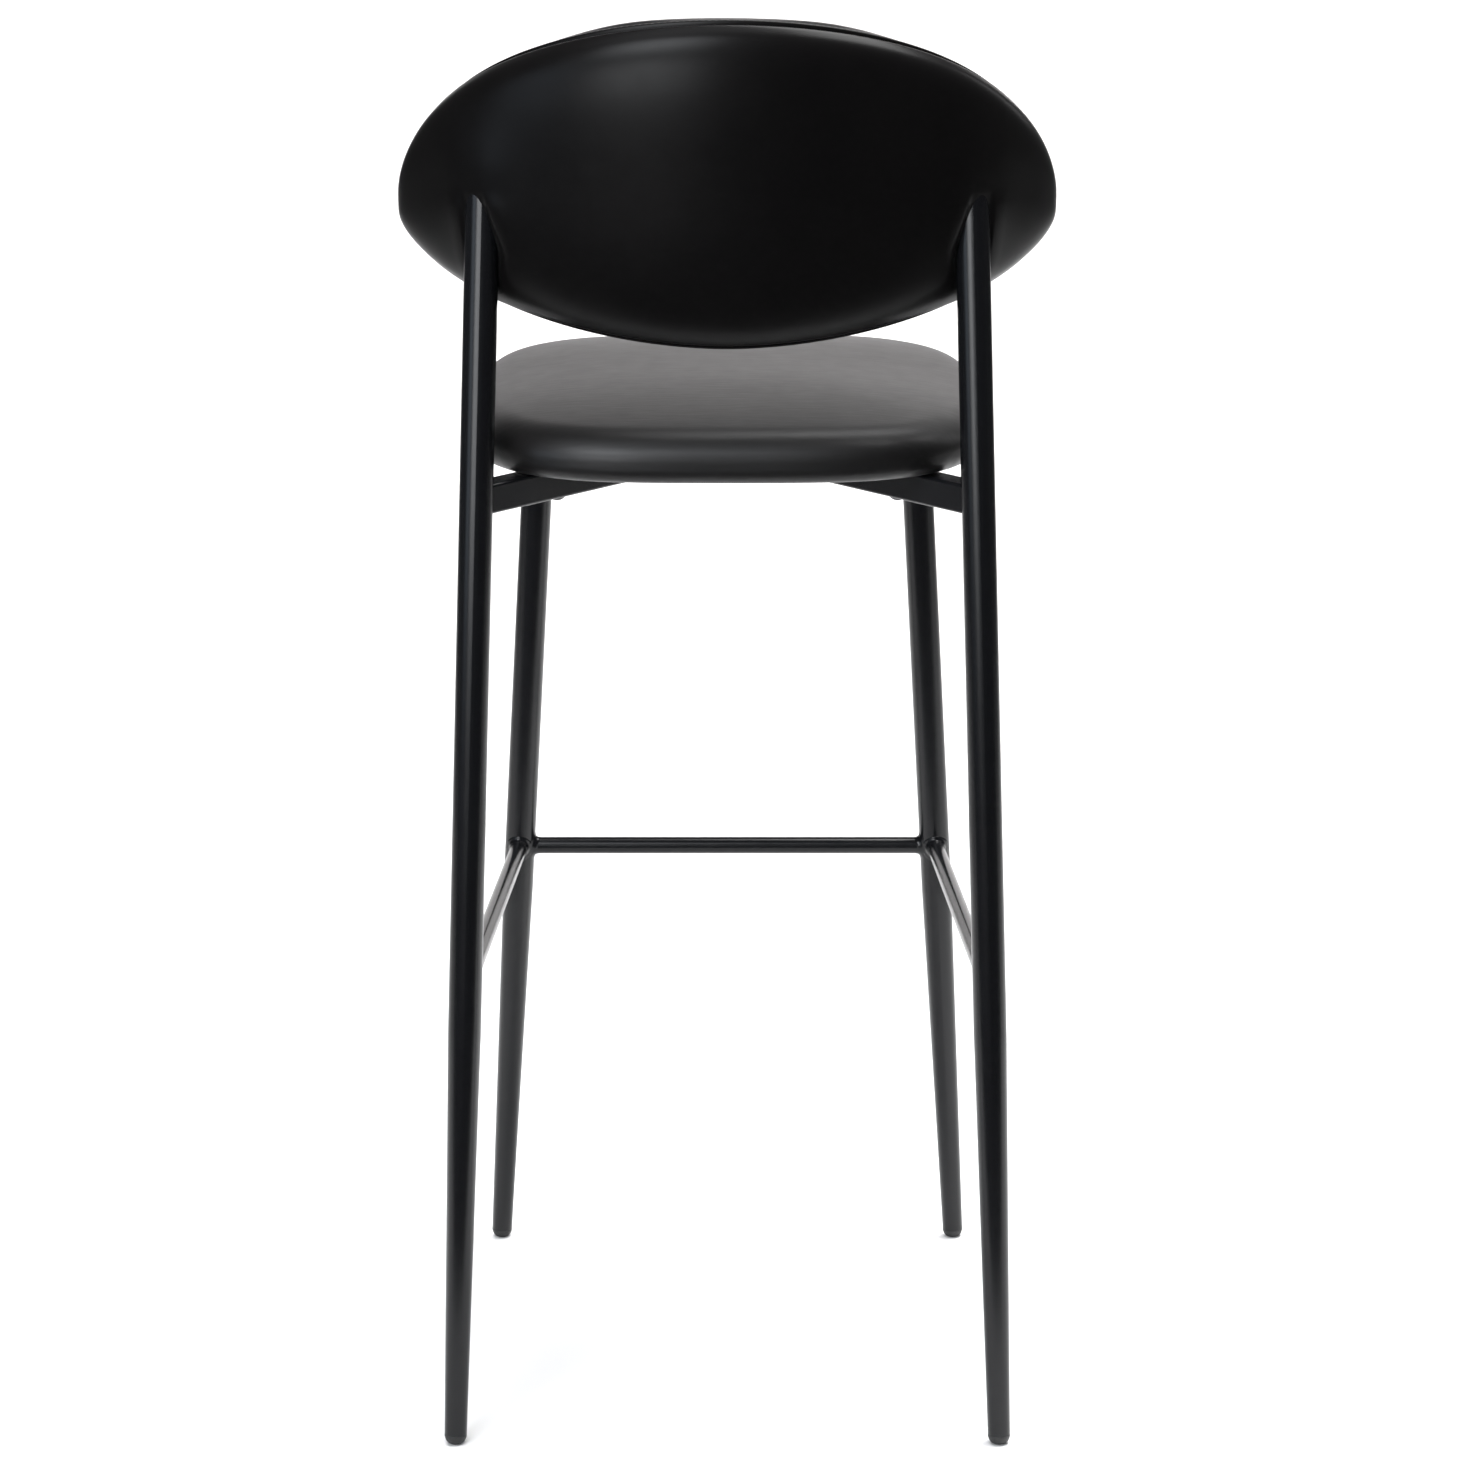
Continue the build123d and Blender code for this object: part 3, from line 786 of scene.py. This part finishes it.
STITCH_PITCH, STITCH_GAP, STITCH_R = 0.0045, 0.0009, 0.00038
TOP_STITCH = row_at(STITCH_SHARE, 1)
LOW_STITCH = row_at(STITCH_SHARE, -1)
for name, row in (("back_stitches_upper", TOP_STITCH), ("back_stitches_lower", LOW_STITCH)):
    stitch_row(name, back_points[:, row], STITCH_PITCH, STITCH_GAP, STITCH_R)


# ---- weld beads ------------------------------------------------------------------------------

WELD = 0.0042
WELD_SKIN = 0.00015
WELD_OVERLAP = 0.0006
WELD_BURIED = 0.0008
WELD_STEPS = 6
LEG_R = POST_R
FOOTREST_R = 0.007


class Leg:
    """Straight tube axis of a leg with its radius near a joint."""

    def __init__(self, name, radius):
        points = node_points(name)
        low = points[points[:, 2] < 0.35]
        high = points[points[:, 2] > 0.40]
        self.base = Vector(low[low[:, 2] < low[:, 2].min() + 0.012].mean(0))
        cut = high[:, 2] > high[:, 2].max() - 0.03
        self.top = Vector((high[cut].min(0) + high[cut].max(0)) / 2)
        self.axis = (self.top - self.base).normalized()
        self.radius = radius

    def hit(self, start, direction, extra=0.0):
        """First point of the tube's surface from start along direction, or its nearest side."""
        across = direction - self.axis * direction.dot(self.axis)
        offset = start - self.base
        offset = offset - self.axis * offset.dot(self.axis)
        a, b = across.dot(across), 2 * across.dot(offset)
        c = offset.dot(offset) - (self.radius + extra) ** 2
        inside = max(b * b - 4 * a * c, 0.0)
        return start + direction * ((-b - math.sqrt(inside)) / (2 * a))


def weld_bead(name, leg, start, direction, outline, width):
    """Concave fillet where a member with a given outline meets a leg's surface."""
    side = direction.cross(leg.axis).normalized()
    up = side.cross(direction).normalized()
    rings = []
    for (u, v), (nu, nv) in outline:
        near = start + side * u + up * v
        outward = side * nu + up * nv
        corner = leg.hit(near, direction)
        on_member = corner - direction * width + outward * WELD_SKIN
        on_leg = leg.hit(near + outward * width, direction, WELD_SKIN)
        row = []
        for k in range(WELD_STEPS + 1):
            t = k / WELD_STEPS
            row.append(on_member * (1 - t) ** 2 + corner * (2 * t * (1 - t)) + on_leg * t ** 2)
        # the rest of the ring lies inside the metal, where it can't be seen
        row.append(on_leg + direction * WELD_OVERLAP)
        row.append(corner + direction * WELD_BURIED - outward * WELD_BURIED)
        row.append(on_member - outward * WELD_OVERLAP)
        rings.append(row)
    per = len(rings[0])
    verts = [point for row in rings for point in row]
    faces = ring_faces(len(rings), per, closed=True)
    piece = new_piece(name, verts, faces, MATERIALS["frame_paint"])
    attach(piece, "root")
    return piece


def circle_outline(radius, count=48):
    """Points round a bar's section, each with its outward direction."""
    outline = []
    for k in range(count):
        turn = 2 * math.pi * k / count
        c, s = math.cos(turn), math.sin(turn)
        outline.append(((radius * c, radius * s), (c, s)))
    return outline


def member_axis(name):
    """Two end points on a straight member's axis."""
    points = node_points(name)
    span = points.max(0) - points.min(0)
    k = 0 if span[0] > span[1] else 1
    low = points[points[:, k] < points[:, k].min() + 0.02]
    high = points[points[:, k] > points[:, k].max() - 0.02]
    return Vector((low.min(0) + low.max(0)) / 2), Vector((high.min(0) + high.max(0)) / 2)


def footrest_welds():
    """A bead at each end of the three footrest bars."""
    legs = {}
    for where in ("front", "rear"):
        for side in ("left", "right"):
            name = f"{where}_leg_{side}"
            legs[name] = Leg(name, LEG_R)
    ends = member_axis("footrest_front_bar")
    across = (ends[1] - ends[0]).normalized()
    joints = [
        ("weld_front_bar_left", "front_leg_left", ends, across),
        ("weld_front_bar_right", "front_leg_right", ends, -across),
    ]
    for side in ("left", "right"):
        ends = member_axis(f"footrest_side_bar_{side}")
        along = (ends[1] - ends[0]).normalized()
        joints.append((f"weld_side_bar_front_{side}", f"front_leg_{side}", ends, -along))
        joints.append((f"weld_side_bar_rear_{side}", f"rear_leg_{side}", ends, along))
    outline = circle_outline(FOOTREST_R)
    for name, leg, (start, end), direction in joints:
        weld_bead(name, legs[leg], (start + end) / 2, direction, outline, WELD)


footrest_welds()


# ---- floor, light and camera -----------------------------------------------------------------

def studio():
    """Pale floor that sweeps up into a backdrop beyond the stool."""
    near, depth, bend, height, half, rows = 0.55, 3.2, 0.9, 3.4, 3.2, 40
    profile = [(near, 0.0)]
    for k in range(rows + 1):
        turn = math.radians(90 * k / rows)
        profile.append((-depth - bend * math.sin(turn), bend * (1 - math.cos(turn))))
    profile.append((-depth - bend, height))
    verts, faces = [], []
    for y, z in profile:
        verts += [(-half, y, z), (half, y, z)]
    for k in range(len(profile) - 1):
        faces.append((2 * k, 2 * k + 1, 2 * k + 3, 2 * k + 2))
    shader = Shader("studio_paint")
    shader.colours(shader.noise(3, 3), (0.88, 0.88, 0.88), (0.9, 0.9, 0.9))
    shader.value("Roughness", 0.8)
    shader.value("Specular IOR Level", 0.1)
    backdrop = new_piece("studio_sweep", verts, faces, shader.material)


def area(name, place, target, size, radiance, colour=(1, 1, 1), spread=180, glossy=True):
    """Soft box from its centre, the point it faces, its width and height, and its brightness."""
    light = bpy.data.lights.new(name, "AREA")
    light.shape = "RECTANGLE"
    light.size, light.size_y = size
    half = math.radians(spread) / 2
    focus = 0.42 / (math.tan(half) - half) if spread < 180 else 1.0
    light.energy = radiance * math.pi * size[0] * size[1] / focus
    light.color = colour
    light.spread = math.radians(spread)
    lamp = bpy.data.objects.new(name, light)
    lamp.location = place
    lamp.rotation_euler = (Vector(target) - Vector(place)).to_track_quat("-Z", "Y").to_euler()
    lamp.visible_glossy = glossy
    lamp.visible_camera = False
    bpy.context.scene.collection.objects.link(lamp)


studio()
# soft box beyond the camera's left: the narrow highlight down each tube
area("box_low_left", (0.9, 2.3, 0.85), (0, 0.1, 0.8), (1.2, 0.75), 6.0, (0.95, 0.97, 1.0), 70)
# soft box above it: the band along the top of the backrest
area("box_high_left", (0.9, 2.2, 2.35), (0, 0.1, 1.0), (1.4, 1.5), 10.6, (0.93, 0.96, 1.0), 60)
# dimmer box further round to the left: the cool zone beside each highlight
area("box_far_left", (1.9, 1.5, 1.0), (0, 0.1, 0.9), (0.9, 1.2), 1.0, (0.75, 0.86, 1.0), 90)
# soft box overhead on the right: the roll along the seat's rear edge and the backrest's top
area("box_top", (-0.85, -0.2, 2.9), (-0.6, 0.0, 0.9), (1.6, 1.2), 12.5)
# dim box overhead on the left: the sheen between that band and the seam
area("box_top_left", (0.5, 0.75, 2.8), (0, 0.25, 1.0), (1.5, 1.5), 1.7, (0.93, 0.96, 1.0), 60)
# light far right: thin rim
area("rim_right", (-2.2, -0.9, 1.9), (0, 0.1, 0.9), (0.3, 1.2), 4)
WARM = (1.0, 0.955, 0.945)
# washes over the floor and up the backdrop, kept out of reflections
area("floor_wash", (0, -1.9, 2.5), (0, -1.9, 0), (4.2, 5.8), 15.2, spread=50, glossy=False)
area("high_wash", (-1.3, -2.5, 3.0), (-1.3, -4.1, 2.5), (2.0, 0.8), 5.0, WARM, glossy=False)
area("backdrop_wash", (0, -2.2, 2.6), (0, -4.1, 1.2), (4.0, 1.2), 3.8, WARM, glossy=False)

world = bpy.data.worlds.new("studio_world")
world.use_nodes = True
world.node_tree.nodes["Background"].inputs["Color"].default_value = (0.93, 0.95, 1.0, 1)
world.node_tree.nodes["Background"].inputs["Strength"].default_value = 0.06
bpy.context.scene.world = world
bpy.context.scene.view_settings.view_transform = "Standard"

FOCAL_LENGTH = 107.56
SENSOR_WIDTH = 36.0
CAMERA_Y = 3.3159
CAMERA_Z = 1.325
PITCH = math.radians(13.86)
camera_data = bpy.data.cameras.new("camera")
camera_data.sensor_width = SENSOR_WIDTH
camera_data.lens = FOCAL_LENGTH
camera_data.shift_x = 0.00185
camera_data.clip_end = 60
camera = bpy.data.objects.new("camera", camera_data)
camera.location = (0, CAMERA_Y, CAMERA_Z)
camera.rotation_euler = (math.radians(90) - PITCH, 0, math.radians(180))
bpy.context.scene.collection.objects.link(camera)
bpy.context.scene.camera = camera
